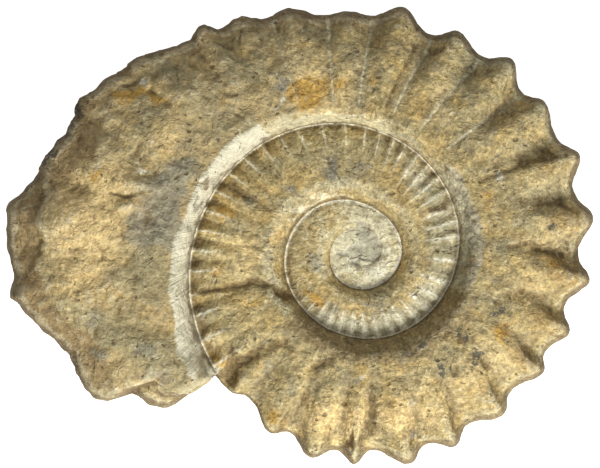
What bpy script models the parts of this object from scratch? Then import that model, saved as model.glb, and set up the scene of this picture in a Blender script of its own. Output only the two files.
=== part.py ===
import math
from functools import partial

import bmesh
import bpy
from mathutils import Matrix, Vector, noise

MM = 0.001

# Coil plan in degrees along the spiral and millimetres from its centre
COIL_START = -139.0
FREE_START = 941.0
COIL_END = 1301.0
FULL_TURN = 360.0
SEAM = (
    (-139, 4.6), (-90, 6.2), (-60, 8.0), (-30, 12.0), (0, 16.0), (40, 17.6), (90, 16.2),
    (150, 14.6), (190, 15.2), (240, 18.4), (300, 23.6), (360, 29.0), (430, 30.8), (480, 36.3),
    (540, 42.6), (600, 47.2), (660, 55.4), (720, 63.5), (780, 73.2), (840, 85.6), (900, 99.8),
    (941, 110.7),
)

# Rib crests on the free turn: spiral angle, reach of the crest, reach of the furrow after it
RIBS = (
    (948, 113.8, 109.5), (965, 121.8, 116.9), (978, 128.5, 121.2), (990, 129.8, 121.8),
    (1005, 133.5, 126.1), (1018, 134.1, 126.7), (1033, 135.3, 129.2), (1048, 137.8, 132.8),
    (1060, 141.5, 134.1), (1074, 146.4, 138.4), (1089, 149.4, 141.5), (1104, 151.3, 144.5),
    (1118.5, 150.7, 143.3), (1131, 154.4, 145.1), (1145, 151.3, 142.7), (1159, 155.0, 147.0),
    (1173, 149.4, 147.6), (1186, 156.8, 153.8), (1197, 161.7, 159.9), (1204.5, 169.7, 167.3),
)

# Worn edge of the body chamber: spiral angle and reach
CHAMBER_EDGE = (
    (1211, 169.5), (1215, 175.7), (1220, 181.2), (1228, 189.6), (1231, 194.4), (1234, 190.6),
    (1240, 195.0), (1246, 199.6), (1250, 208.2), (1252.6, 215.3), (1259, 213.2), (1264, 209.2),
    (1267, 212.8), (1271, 202.0), (1277, 188.6), (1284, 186.2), (1289, 182.4), (1290.6, 177.0),
    (1292, 160.6), (1296, 155.4), (1299, 150.0),
)

# Whorl section: half thickness, its growth per turn, and heights as shares of it
CHAMBER_HALF = 39.0
CHAMBER_ANGLE = 1250.0
HALF_GROWTH = 1.72
SEAM_SHARE = 0.74
EDGE_SHARE = 0.6
FLANK_FALL = 2.4
VENTER_BULGE = 10.0
VENTER_ROUND = 0.8
FREE_STEP = 2.5

# The unseen side: a little thinner and worn, its middle filled with matrix
BACK_SHARE = 0.94
BACK_FILL = 0.56
BACK_WEAR = 0.7

# Middle of the coil, filled nearly level with the turn around it
CORE_FILL = 0.82
CORE_END = 230.0
CORE_FADE = 120.0

# Wall between the seam and the flank
WALL_WIDTH = 10.5
INNER_WALL = 5.0
WIDEST_WALL = 0.35

# Ribs: height, where across the whorl they begin and are full, and how pointed they are
RIB_HEIGHT = 4.2
RIB_BEGINS = 0.2
RIB_FULL = 0.75
INNER_RIB_HEIGHT = 2.5
INNER_RIB_BEGINS = 0.04
INNER_RIB_FULL = 0.35
INNER_RIB_STEP = 13.2
RIB_SHARPNESS = 1.3
CHAMBER_SWELL = 1.5
CHAMBER_FROM = 1180.0
CHAMBER_FULL = 1215.0

# Degrees over which the free turn takes on its own wall, ribs and rounded edge
CHANGE_BEFORE = 20.0
CHANGE_AFTER = 40.0
BULGE_AFTER = 60.0

# Lumps on the body chamber: x and y from the coil centre, length, width, height, turn
LUMPS = (
    (-129.0, 40.0, 15.0, 7.0, 3.4, -12.0),
    (-136.0, 24.0, 14.0, 6.0, 2.6, 0.0),
    (-152.0, 64.0, 18.0, 9.0, 3.0, 50.0),
    (-178.0, 16.0, 14.0, 10.0, 2.6, 70.0),
    (-162.0, -30.0, 22.0, 10.0, 2.6, -40.0),
    (-118.0, -60.0, 20.0, 10.0, 2.8, -25.0),
    (-98.0, 96.0, 22.0, 10.0, 2.4, 60.0),
)
LUMP_GRAIN = 0.045
LUMP_GRAIN_HEIGHT = 2.6
LUMP_BEGINS = 0.1
LUMP_FULL = 0.3

# Broken pocket at the middle of the coil: outline from the coil centre
POCKET = (
    (0.2, 16.0), (14.0, 11.5), (17.6, 3.4), (15.4, -4.1), (4.2, -5.9), (2.5, -8.2),
    (-1.6, -4.2), (-5.4, -0.8), (-9.6, -2.4), (-11.7, 1.6), (-9.4, 5.2), (-4.2, 4.2),
    (2.6, 8.9), (-1.6, 13.4),
)
POCKET_FLOOR = 4.4

# How it lies: the middle plane leans so that the thick and the thin side both touch
REST_HEIGHT = 30.3
LEAN_X = -0.036
LEAN_Y = 0.012

# The mouth closes onto the turn inside it over these last degrees
MOUTH_SPAN = 2.4
MOUTH_COLUMNS = (3.0, 1.6, 0.8, 0.3, 0.0)

# Mesh density
RIB_COLUMNS = 6
CHAMBER_STEP = 2.6
WALL_ROWS = 0.27
INNER_ROWS = 4
MIDDLE_ROWS = 5
OUTER_ROWS = 7
BACK_MIDDLE_ROWS = 4
BACK_OUTER_ROWS = 5
EDGE_ROWS = 4
WELD = 0.01 * MM
SHARP_ANGLE = 50.0


def blend(edge_low, edge_high, value):
    share = min(max((value - edge_low) / (edge_high - edge_low), 0.0), 1.0)
    return share * share * (3.0 - 2.0 * share)


def through(points, at):
    # Smooth curve through a few points
    if at <= points[0][0]:
        return points[0][1]
    if at >= points[-1][0]:
        return points[-1][1]
    slopes = [(b[1] - a[1]) / (b[0] - a[0]) for a, b in zip(points, points[1:])]
    index = max(i for i in range(len(slopes)) if points[i][0] <= at)
    before = slopes[max(index - 1, 0)]
    after = slopes[min(index + 1, len(slopes) - 1)]
    start_slope = 0.5 * (before + slopes[index])
    end_slope = 0.5 * (slopes[index] + after)
    low, high = points[index], points[index + 1]
    span = high[0] - low[0]
    t = (at - low[0]) / span
    return (
        (2 * t**3 - 3 * t**2 + 1) * low[1]
        + (t**3 - 2 * t**2 + t) * span * start_slope
        + (3 * t**2 - 2 * t**3) * high[1]
        + (t**3 - t**2) * span * end_slope
    )


def straight(points, at):
    for low, high in zip(points, points[1:]):
        if at <= high[0]:
            share = (at - low[0]) / (high[0] - low[0])
            return low[1] + share * (high[1] - low[1])
    return points[-1][1]


def rib_phase(angle):
    # Whole numbers on the crests, halves in the furrows
    if angle <= RIBS[0][0]:
        return (angle - RIBS[0][0]) / INNER_RIB_STEP
    if angle >= RIBS[-1][0]:
        return len(RIBS) - 1 + (angle - RIBS[-1][0]) / INNER_RIB_STEP
    index = max(i for i, rib in enumerate(RIBS) if rib[0] <= angle)
    step = RIBS[index + 1][0] - RIBS[index][0]
    return index + (angle - RIBS[index][0]) / step


def rib_wave(angle):
    return (0.5 + 0.5 * math.cos(math.tau * rib_phase(angle))) ** RIB_SHARPNESS


def free_edge(angle):
    if angle <= RIBS[0][0]:
        start = through(SEAM, FREE_START) + FREE_STEP
        return start + blend(FREE_START, RIBS[0][0], angle) * (RIBS[0][1] - start)
    if angle >= RIBS[-1][0]:
        return straight((RIBS[-1][:2],) + CHAMBER_EDGE, angle)
    phase = rib_phase(angle)
    furrow = RIBS[int(phase)][2]
    crest = RIBS[round(phase)][1]
    return furrow + rib_wave(angle) * (crest - furrow)


def half_thickness(angle):
    return CHAMBER_HALF * HALF_GROWTH ** ((angle - CHAMBER_ANGLE) / FULL_TURN)


def closing(angle):
    # 1 along the coil, 0 where the broken mouth has closed onto the turn inside it
    return math.sqrt(max(1.0 - blend(COIL_END - MOUTH_SPAN, COIL_END, angle), 0.0))


def bulge(angle):
    start = free_edge(FREE_START) - through(SEAM, FREE_START)
    share = blend(FREE_START, FREE_START + BULGE_AFTER, angle)
    grown = start + (VENTER_BULGE - start) * share
    return start + (grown - start) * closing(angle)


def edge_line(angle):
    # Where the flank ends: the seam with the next turn, then the shoulder of the free edge
    if angle <= FREE_START:
        return through(SEAM, angle)
    seam = through(SEAM, angle - FULL_TURN)
    return seam + closing(angle) * (free_edge(angle) - bulge(angle) - seam)


def edge_height(angle, back):
    free = half_thickness(angle) * EDGE_SHARE
    seam = half_thickness(angle) * SEAM_SHARE
    if angle < CORE_END:
        core = half_thickness(angle + FULL_TURN) * CORE_FILL
        seam = core + (seam - core) * blend(CORE_END - CORE_FADE, CORE_END, angle)
    if back:
        seam = half_thickness(angle + FULL_TURN) * BACK_FILL * BACK_SHARE
        free *= BACK_SHARE
    if angle <= FREE_START:
        return seam
    height = seam + (free - seam) * blend(FREE_START, FREE_START + CHANGE_AFTER, angle)
    at_seam = edge_height(angle - FULL_TURN, back)
    return at_seam + closing(angle) * (height - at_seam)


def free_share(angle):
    return blend(FREE_START - CHANGE_BEFORE, FREE_START + CHANGE_AFTER, angle)


def rib_lift(angle, share, back):
    grown = free_share(angle)
    inner = INNER_RIB_HEIGHT * half_thickness(angle) / half_thickness(FREE_START)
    worn = blend(CHAMBER_FROM, CHAMBER_FULL, angle)
    outer = RIB_HEIGHT + (CHAMBER_SWELL - RIB_HEIGHT) * worn
    height = (inner + (outer - inner) * grown) * (BACK_WEAR if back else 1.0)
    begins = INNER_RIB_BEGINS + (RIB_BEGINS - INNER_RIB_BEGINS) * grown
    full = INNER_RIB_FULL + (RIB_FULL - INNER_RIB_FULL) * grown
    rising = blend(begins, full, share)
    return height * rib_wave(angle) * rising


def edge_top(angle, back):
    return edge_height(angle, back) + rib_lift(angle, 1.0, back) * closing(angle)


def wall_share(angle):
    # The part of the whorl's width that the wall beside the seam takes
    width = max(edge_line(angle) - through(SEAM, angle - FULL_TURN), 0.1)
    wall = INNER_WALL + free_share(angle) * (WALL_WIDTH - INNER_WALL)
    return min(wall / width, WIDEST_WALL)


def flank_height(angle, share, back):
    start = edge_top(angle - FULL_TURN, back)
    top = half_thickness(angle) * (BACK_SHARE if back else 1.0)
    top = start + closing(angle) * (top - start)
    wall = wall_share(angle)
    if share < wall:
        return start + (top - start) * math.sin(0.5 * math.pi * share / wall)
    fall = ((share - wall) / (1.0 - wall)) ** FLANK_FALL
    height = top - (top - edge_height(angle, back)) * fall
    return height + rib_lift(angle, share, back) * closing(angle)


def spread(across, wall):
    # Rows stand closer together on the wall beside the seam
    if across < WALL_ROWS:
        return wall * across / WALL_ROWS
    return wall + (1.0 - wall) * (across - WALL_ROWS) / (1.0 - WALL_ROWS)


def lumps(x, y):
    total = 0.0
    for place_x, place_y, length, width, height, turn in LUMPS:
        away = Matrix.Rotation(math.radians(-turn), 2) @ Vector((x - place_x, y - place_y))
        total += height * math.exp(-((away.x / length) ** 2) - (away.y / width) ** 2)
    return total


def settle(x, y, z):
    height = REST_HEIGHT + LEAN_X * x + LEAN_Y * y + z
    return Vector((x, y, max(height, 0.0))) * MM


def flank(back, angle, across):
    inner = through(SEAM, angle - FULL_TURN)
    share = spread(across, wall_share(angle))
    radius = inner + share * (edge_line(angle) - inner)
    turn = math.radians(angle)
    x = radius * math.cos(turn)
    y = radius * math.sin(turn)
    z = flank_height(angle, share, back)
    if angle > RIBS[-1][0] and 0.0 < across < 1.0:
        rough = noise.noise(Vector((x, y, z)) * LUMP_GRAIN) * LUMP_GRAIN_HEIGHT
        z += (rough + lumps(x, y)) * blend(LUMP_BEGINS, LUMP_FULL, share) * closing(angle)
    return settle(x, y, -z if back else z)


def venter(angle, across):
    # Free outer edge, from the front shoulder round to the back one
    swing = math.pi * (across - 0.5)
    z = -math.sin(swing) * edge_top(angle, across > 0.5)
    radius = edge_line(angle) + bulge(angle) * math.cos(swing) ** VENTER_ROUND
    turn = math.radians(angle)
    return settle(radius * math.cos(turn), radius * math.sin(turn), z)


def sheet(mesh, angles, rows, place, first_rows):
    # A flat grid laid along the spiral: columns follow the angles, rows run outwards;
    # the first column takes the row places of the turn that it runs on from
    columns = len(angles) - 1
    made = bmesh.ops.create_grid(mesh, x_segments=columns, y_segments=rows, size=1.0)
    for vert in made["verts"]:
        column = round((vert.co.x + 1.0) * 0.5 * columns)
        across = round((vert.co.y + 1.0) * 0.5 * rows) / rows
        if column == 0:
            across = round(across * first_rows) / first_rows
        vert.co = place(angles[column], across)


def column_angles():
    angles = [FREE_START, 0.5 * (FREE_START + RIBS[0][0])]
    for rib, following in zip(RIBS, RIBS[1:]):
        for step in range(RIB_COLUMNS):
            angles.append(rib[0] + (following[0] - rib[0]) * step / RIB_COLUMNS)
    chamber_end = COIL_END - MOUTH_COLUMNS[0]
    steps = round((chamber_end - RIBS[-1][0]) / CHAMBER_STEP)
    for step in range(steps):
        angles.append(RIBS[-1][0] + (chamber_end - RIBS[-1][0]) * step / steps)
    angles += [COIL_END - before for before in MOUTH_COLUMNS]
    return angles


def finished(name, mesh):
    data = bpy.data.meshes.new(name)
    mesh.to_mesh(data)
    mesh.free()
    return bpy.data.objects.new(name, data)


def build_ammonite():
    mesh = bmesh.new()
    free = column_angles()
    front_rows = (OUTER_ROWS, MIDDLE_ROWS, INNER_ROWS, INNER_ROWS)
    back_rows = (BACK_OUTER_ROWS, BACK_MIDDLE_ROWS, BACK_MIDDLE_ROWS)
    for back, turn_rows in ((False, front_rows), (True, back_rows)):
        for turns_in, rows in enumerate(turn_rows[:-1]):
            angles = [angle - turns_in * FULL_TURN for angle in free]
            place = partial(flank, back)
            sheet(mesh, angles, rows, place, turn_rows[turns_in + 1])
    sheet(mesh, free, EDGE_ROWS, venter, EDGE_ROWS)
    bmesh.ops.remove_doubles(mesh, verts=mesh.verts, dist=WELD)
    rims = [edge for edge in mesh.edges if edge.is_boundary]
    bmesh.ops.holes_fill(mesh, edges=rims, sides=0)
    bmesh.ops.recalc_face_normals(mesh, faces=mesh.faces)
    bmesh.ops.triangulate(mesh, faces=mesh.faces)
    for face in mesh.faces:
        face.smooth = True
    for edge in mesh.edges:
        edge.smooth = edge.calc_face_angle(0.0) < math.radians(SHARP_ANGLE)
    return finished("ammonite", mesh)


def pocket_cutter():
    mesh = bmesh.new()
    rim = [mesh.verts.new(Vector((x, y, REST_HEIGHT + POCKET_FLOOR)) * MM) for x, y in POCKET]
    floor = bmesh.ops.contextual_create(mesh, geom=rim)["faces"]
    raised = bmesh.ops.extrude_face_region(mesh, geom=floor)["geom"]
    top = [item for item in raised if isinstance(item, bmesh.types.BMVert)]
    bmesh.ops.translate(mesh, verts=top, vec=(0.0, 0.0, CHAMBER_HALF * MM))
    bmesh.ops.recalc_face_normals(mesh, faces=mesh.faces)
    return finished("pocket_cutter", mesh)


def centre_on_origin(piece, cutter):
    # The origin goes under the middle of the fossil's box, on the resting side
    corners = [vert.co for vert in piece.data.vertices]
    low = Vector([min(corner[axis] for corner in corners) for axis in range(3)])
    high = Vector([max(corner[axis] for corner in corners) for axis in range(3)])
    shift = Matrix.Translation((-(low.x + high.x) / 2, -(low.y + high.y) / 2, -low.z))
    piece.data.transform(shift)
    cutter.data.transform(shift)


def limestone():
    material = bpy.data.materials.new("limestone")
    material.use_nodes = True
    shader = material.node_tree.nodes["Principled BSDF"]
    shader.inputs["Base Color"].default_value = (0.41, 0.33, 0.18, 1.0)
    shader.inputs["Roughness"].default_value = 0.82
    shader.inputs["Metallic"].default_value = 0.0
    return material


for old in list(bpy.data.objects):
    bpy.data.objects.remove(old)
fossil = bpy.data.collections.new("ammonite_fossil")
bpy.context.scene.collection.children.link(fossil)
cutters = bpy.data.collections.new("cutters")
bpy.context.scene.collection.children.link(cutters)
ammonite = build_ammonite()
ammonite.data.materials.append(limestone())
fossil.objects.link(ammonite)
pocket = pocket_cutter()
pocket.hide_render = True
pocket.display_type = "WIRE"
cutters.objects.link(pocket)
centre_on_origin(ammonite, pocket)
cut = ammonite.modifiers.new("broken pocket", "BOOLEAN")
cut.operation = "DIFFERENCE"
cut.solver = "EXACT"
cut.object = pocket
print("ammonite", len(ammonite.data.polygons), "triangles before the cut")
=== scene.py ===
import math

import bmesh
import bpy
import numpy as np
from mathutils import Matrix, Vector, noise


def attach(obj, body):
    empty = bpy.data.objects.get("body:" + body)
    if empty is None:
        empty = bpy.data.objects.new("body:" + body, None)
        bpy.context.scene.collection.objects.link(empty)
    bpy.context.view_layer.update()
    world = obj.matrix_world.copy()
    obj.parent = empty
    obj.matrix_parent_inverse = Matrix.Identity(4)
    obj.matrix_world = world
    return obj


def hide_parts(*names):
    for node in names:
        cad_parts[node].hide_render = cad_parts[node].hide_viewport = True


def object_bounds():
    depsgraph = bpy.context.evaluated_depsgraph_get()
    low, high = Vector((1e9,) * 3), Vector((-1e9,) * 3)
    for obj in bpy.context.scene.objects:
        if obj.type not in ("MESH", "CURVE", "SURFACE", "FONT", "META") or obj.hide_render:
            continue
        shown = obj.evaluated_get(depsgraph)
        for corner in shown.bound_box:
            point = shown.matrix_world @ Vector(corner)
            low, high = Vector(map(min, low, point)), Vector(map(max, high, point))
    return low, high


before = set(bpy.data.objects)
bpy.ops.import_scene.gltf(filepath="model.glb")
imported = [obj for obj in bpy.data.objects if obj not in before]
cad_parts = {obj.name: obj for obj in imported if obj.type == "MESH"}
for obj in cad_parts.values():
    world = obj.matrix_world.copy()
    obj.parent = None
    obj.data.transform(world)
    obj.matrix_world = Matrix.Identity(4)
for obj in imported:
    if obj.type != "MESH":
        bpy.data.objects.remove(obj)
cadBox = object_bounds()
millimetre = 0.001

# The coil in plan: degrees along the spiral, millimetres from its centre
coil = {
    "centre": (33.046, -11.176),
    "start": -139.0,
    "freeStart": 941.0,
    "end": 1301.0,
    "seam": (
        (-139, 4.6), (-90, 6.2), (-60, 8.0), (-30, 12.0), (0, 16.0), (40, 17.6), (90, 16.2),
        (150, 14.6), (190, 15.2), (240, 18.4), (300, 23.6), (360, 29.0), (430, 30.8), (480, 36.3),
        (540, 42.6), (600, 47.2), (660, 55.4), (720, 63.5), (780, 73.2), (840, 85.6), (900, 99.8),
        (941, 110.7),
    ),
    "ribsInTurn": 27.0,
    # crest angle, reach of the crest, angle of the furrow after it, reach of the furrow
    "ribs": (
        (948, 113.8, 953.5, 109.5), (965, 121.8, 969.5, 116.9), (978, 128.5, 985, 121.2),
        (990, 129.8, 995, 121.8), (1005, 133.5, 1010.5, 126.1), (1018, 134.1, 1023.5, 126.7),
        (1033, 135.3, 1039, 129.2), (1048, 137.8, 1052.5, 132.8), (1060, 141.5, 1066, 134.1),
        (1074, 146.4, 1080, 138.4), (1089, 149.4, 1096, 141.5), (1104, 151.3, 1109.5, 144.5),
        (1118.5, 150.7, 1124, 143.3), (1131, 154.4, 1137.5, 145.1), (1145, 151.3, 1150.5, 142.7),
        (1159, 155.0, 1166, 147.0), (1172, 149.4, 1176.5, 147.6), (1186, 156.8, 1189.5, 154.8),
        (1197, 161.7, 1199.5, 160.4), (1204.5, 169.7, 1207, 167.3),
    ),
    "chamberEdge": (
        (1207.5, 165.8), (1210.5, 167.3), (1215.3, 175.7), (1219.7, 181.4), (1221, 180.9),
        (1224.4, 186.0), (1228.6, 190.0), (1230.6, 194.2), (1232, 194.2), (1233.6, 190.7),
        (1237.7, 191.3), (1240.1, 195.0), (1242.4, 198.6), (1245.7, 198.6), (1247.6, 202.8),
        (1249.8, 207.9), (1251.2, 213.4), (1252.6, 215.3), (1259.3, 213.4), (1262, 211.1),
        (1264.4, 209.1), (1266, 212.7), (1267, 212.5), (1268.4, 207.0), (1271.2, 201.9),
        (1274.5, 194.3), (1277.1, 188.5), (1279.4, 185.2), (1284, 185.9), (1286.9, 184.8),
        (1289.3, 182.0), (1290.6, 176.0), (1291.7, 160.5), (1293.8, 158.3), (1296.1, 155.5),
        (1299, 150.0),
    ),
    # crests counted along the inner turns: spiral angle, number of ribs before the free turn
    "innerRibs": (
        (-139, -103), (221, -75), (581, -42), (702, -29), (716, -28), (730, -27), (738, -26), (746, -25),
        (755, -24), (785, -20), (791, -19), (798, -18), (805, -17), (814, -16), (834.5, -14),
        (842.5, -13), (875.5, -9), (883.5, -8), (891, -7), (898.5, -6), (906, -5), (914, -4),
        (921, -3), (929.5, -2), (938.5, -1),
    ),
}

# The whorl in section, millimetres and shares of the half thickness
whorl = {
    "chamberHalf": 39.0,
    "chamberAngle": 1250.0,
    "halfGrowth": 1.72,
    "seamShares": ((-139, 0.82), (221, 0.84), (400, 0.86), (560, 0.8), (760, 0.7), (941, 0.68)),
    "edgeShare": 0.6,
    "flankFall": 2.4,
    "venterBulge": 10.0,
    "venterRound": 0.8,
    "freeStep": 2.5,
    "backShare": 0.94,
    "backFill": 0.56,
    "backWear": 0.7,
    "coreFill": 0.82,
    "coreEnd": 230.0,
    "coreFade": 120.0,
    # width of the wall beside the seam along the coil
    "walls": (
        (221, 3.0), (581, 8.0), (760, 12.0), (900, 13.0), (941, 9.0), (975, 10.0), (1000, 11.5),
        (1060, 14.0), (1100, 11.0), (1140, 8.0), (1180, 8.5), (1208, 11.0), (1225, 10.0), (1236, 8.4),
        (1260, 9.4), (1280, 10.0), (1290, 12.5), (1301, 12.5),
    ),
    "widestWall": 0.42,
    "ribHeight": 6.4,
    # how high each rib of the free turn stands, first to last
    "ribStrengths": (0.6, 0.8, 0.85, 0.85, 0.75, 0.8, 0.7, 0.75, 0.8, 0.9, 0.95, 0.9, 0.8, 0.65, 0.55,
                     0.5, 0.4, 0.35, 0.35, 0.3),
    # spiral angle and the share of the width where the ribs begin
    "ribBegins": ((941, 0.08), (1000, 0.08), (1040, 0.25), (1070, 0.38), (1110, 0.36), (1150, 0.25),
                  (1190, 0.3)),
    "ribFull": 0.78,
    "tipKnob": 2.2,
    "knobRise": (0.8, 0.97),
    "knobSharpness": 2.5,
    "ribLeans": ((941, 3.5), (1000, 4.5), (1050, 5.5), (1120, 6.0), (1150, 6.0), (1166, 4.0),
                 (1177, 2.0), (1200, 1.5)),
    "innerRibHeight": 2.2,
    "innerRibBegins": 0.35,
    "innerRibFull": 0.95,
    "innerRibLean": 1.5,
    "leanCurve": 1.15,
    # how strongly the inner turn's ribs stand, by spiral angle
    "innerStrengths": ((540, 0.0), (620, 0.45), (720, 0.5), (800, 0.7), (850, 1.1), (941, 1.2)),
    "crestSharpness": 1.3,
    "valleySharpness": 0.62,
    "sharpens": (0.8, 1.0),
    "chamberSwell": 1.2,
    "chamberFrom": 1172.0,
    "chamberFull": 1206.0,
    "changeBefore": 20.0,
    "changeAfter": 40.0,
    "bulgeAfter": 60.0,
    "restHeight": 30.3,
    "leanX": -0.036,
    "leanY": 0.012,
    "mouthSpan": 2.4,
}

fullTurn = 360.0
chamberSpan = (1168.0, 1200.0)  # spiral angles where the stone changes to the rough chamber's


def easeBetween(low, high, value):
    share = np.clip((value - low) / (high - low), 0.0, 1.0)
    return share * share * (3.0 - 2.0 * share)


def within(value, rise, fall):
    # 1 from the rise to the fall, each given by where it starts and ends
    return easeBetween(*rise, value) * (1.0 - easeBetween(*fall, value))


def atLeast(low, share):
    return low + (1.0 - low) * share


def around(value, rise, fall):
    # 1 from the rise on, past the full turn, to the fall
    return np.clip(easeBetween(*rise, value) + 1.0 - easeBetween(*fall, value), 0.0, 1.0)


def smoothThrough(points, at):
    # smooth curve through a few points, level past its ends
    places, values = np.array(points, dtype=float).T
    steps = np.diff(places)
    slopes = np.diff(values) / steps
    knotSlopes = 0.5 * (np.append(slopes[0], slopes) + np.append(slopes, slopes[-1]))
    at = np.clip(at, places[0], places[-1])
    index = np.clip(np.searchsorted(places, at, side="right") - 1, 0, len(steps) - 1)
    span = steps[index]
    t = (at - places[index]) / span
    return (
        (2 * t**3 - 3 * t**2 + 1) * values[index]
        + (t**3 - 2 * t**2 + t) * span * knotSlopes[index]
        + (3 * t**2 - 2 * t**3) * values[index + 1]
        + (t**3 - t**2) * span * knotSlopes[index + 1]
    )


def seamRadius(angle):
    return smoothThrough(coil["seam"], angle)


def ribPhase(angle):
    # whole numbers on the crests, halves in the furrows; 0 is the first rib of the free turn
    counts = list(coil["innerRibs"])
    for number, (crestAngle, _, furrowAngle, _) in enumerate(coil["ribs"]):
        counts += [(crestAngle, number), (furrowAngle, number + 0.5)]
    lastAngle, lastCount = counts[-1]
    counts.append((lastAngle + fullTurn, lastCount + coil["ribsInTurn"]))
    places, numbers = np.array(counts, dtype=float).T
    return np.interp(angle, places, numbers)


def ribWave(phase, sharpness):
    return (0.5 + 0.5 * np.cos(2.0 * np.pi * phase)) ** sharpness


def freeShare(angle):
    begins = coil["freeStart"] - whorl["changeBefore"]
    return easeBetween(begins, coil["freeStart"] + whorl["changeAfter"], angle)


def leanedPhase(angle, share):
    # a rib's inner end lies further along the coil than its tip
    grown = freeShare(angle)
    leans = smoothThrough(whorl["ribLeans"], angle)
    lean = whorl["innerRibLean"] + (leans - whorl["innerRibLean"]) * grown
    return ribPhase(angle - lean * np.clip(1.0 - share, 0.0, 1.0) ** whorl["leanCurve"])


def freeEdge(angle):
    ribs = coil["ribs"]
    first, last = ribs[0], ribs[-1]
    start = seamRadius(coil["freeStart"]) + whorl["freeStep"]
    before = start + easeBetween(coil["freeStart"], first[0], angle) * (first[1] - start)
    edge = (last[:2],) + coil["chamberEdge"]
    after = np.interp(angle, *np.array(edge, dtype=float).T)
    phase = np.clip(ribPhase(angle), 0.0, len(ribs) - 1.001)
    furrow = np.array([rib[3] for rib in ribs])[np.floor(phase).astype(int)]
    crest = np.array([rib[1] for rib in ribs])[np.rint(phase).astype(int)]
    between = furrow + ribWave(phase, whorl["crestSharpness"]) * (crest - furrow)
    return np.where(angle <= first[0], before, np.where(angle >= last[0], after, between))


def halfThickness(angle):
    turns = (angle - whorl["chamberAngle"]) / fullTurn
    return whorl["chamberHalf"] * whorl["halfGrowth"] ** turns


def closing(angle):
    # 1 along the coil, 0 where the broken mouth has closed onto the turn inside it
    begins = coil["end"] - whorl["mouthSpan"]
    return np.sqrt(np.clip(1.0 - easeBetween(begins, coil["end"], angle), 0.0, 1.0))


def bulge(angle):
    start = freeEdge(np.array([coil["freeStart"]]))[0] - seamRadius(coil["freeStart"])
    share = easeBetween(coil["freeStart"], coil["freeStart"] + whorl["bulgeAfter"], angle)
    return start + (whorl["venterBulge"] - start) * share * closing(angle)


def edgeLine(angle):
    inner = seamRadius(angle - fullTurn)
    free = inner + closing(angle) * (freeEdge(angle) - bulge(angle) - inner)
    return np.where(angle <= coil["freeStart"], seamRadius(angle), free)


def edgeHeight(angle, back):
    free = halfThickness(angle) * whorl["edgeShare"]
    seam = halfThickness(angle) * smoothThrough(whorl["seamShares"], angle)
    core = halfThickness(angle + fullTurn) * whorl["coreFill"]
    begins = whorl["coreEnd"] - whorl["coreFade"]
    cored = core + (seam - core) * easeBetween(begins, whorl["coreEnd"], angle)
    seam = np.where(angle < whorl["coreEnd"], cored, seam)
    if back:
        seam = halfThickness(angle + fullTurn) * whorl["backFill"] * whorl["backShare"]
        free = free * whorl["backShare"]
    if np.all(angle <= coil["freeStart"]):
        return seam
    grown = easeBetween(coil["freeStart"], coil["freeStart"] + whorl["changeAfter"], angle)
    atSeam = edgeHeight(np.minimum(angle - fullTurn, coil["freeStart"]), back)
    outer = atSeam + closing(angle) * (seam + (free - seam) * grown - atSeam)
    return np.where(angle <= coil["freeStart"], seam, outer)


def ribLift(angle, share, back):
    grown = freeShare(angle)
    inner = whorl["innerRibHeight"] * smoothThrough(whorl["innerStrengths"], angle)
    worn = easeBetween(whorl["chamberFrom"], whorl["chamberFull"], angle)
    phase = leanedPhase(angle, share)
    strengths = whorl["ribStrengths"]
    tall = whorl["ribHeight"] * np.interp(phase, range(len(strengths)), strengths)
    outer = tall + (whorl["chamberSwell"] - tall) * worn
    height = (inner + (outer - inner) * grown) * (whorl["backWear"] if back else 1.0)
    freeBegins = smoothThrough(whorl["ribBegins"], angle)
    begins = whorl["innerRibBegins"] + (freeBegins - whorl["innerRibBegins"]) * grown
    full = whorl["innerRibFull"] + (whorl["ribFull"] - whorl["innerRibFull"]) * grown
    valley = whorl["valleySharpness"]
    sharpness = valley + (whorl["crestSharpness"] - valley) * easeBetween(*whorl["sharpens"], share)
    knob = whorl["tipKnob"] * grown * (1.0 - worn) * easeBetween(*whorl["knobRise"], share)
    knob = knob * ribWave(phase, whorl["knobSharpness"])
    return height * ribWave(phase, sharpness) * easeBetween(begins, full, share) + knob


def edgeBase(angle, back):
    # the edge without its own ribs; at the closed mouth it is the top of the turn inside it
    closed = 1.0 - closing(angle)
    return edgeHeight(angle, back) + ribLift(angle - fullTurn, 1.0, back) * closed


def edgeTop(angle, back):
    return edgeBase(angle, back) + ribLift(angle, 1.0, back) * closing(angle)


def wallShare(angle):
    width = np.maximum(edgeLine(angle) - seamRadius(angle - fullTurn), 0.1)
    wall = smoothThrough(whorl["walls"], angle)
    return np.minimum(wall / width, whorl["widestWall"])


def flankHeight(angle, share, back):
    start = edgeTop(angle - fullTurn, back)
    top = halfThickness(angle) * (whorl["backShare"] if back else 1.0)
    top = start + closing(angle) * (top - start)
    wall = wallShare(angle)
    rise = start + (top - start) * np.sin(0.5 * np.pi * np.clip(share / wall, 0.0, 1.0))
    fall = np.clip((share - wall) / (1.0 - wall), 0.0, 1.0) ** whorl["flankFall"]
    crown = top - (top - edgeBase(angle, back)) * fall
    crown = crown + ribLift(angle, share, back) * closing(angle)
    return np.where(share < wall, rise, crown)


def settle(x, y, z):
    height = whorl["restHeight"] + whorl["leanX"] * x + whorl["leanY"] * y + z
    return np.stack([x, y, np.maximum(height, 0.0)], axis=1)


# Mesh rows across each turn, from the outer turn inwards
rows = {
    "front": (54, 28, 12, 12),
    "back": (18, 8, 8),
    "venter": 14,
    "core": 12,
    "backMiddle": 5,
    "wall": 0.18,
    "ribColumns": 22,
    "chamberStep": 0.62,
    "mouth": (3.0, 2.4, 1.9, 1.4, 1.0, 0.6, 0.3, 0.1, 0.0),
    "coreMiddle": (-4.0, 1.0),
    "backHeart": (-11.0, 2.0),
    "weld": 0.000012,
}


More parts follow.
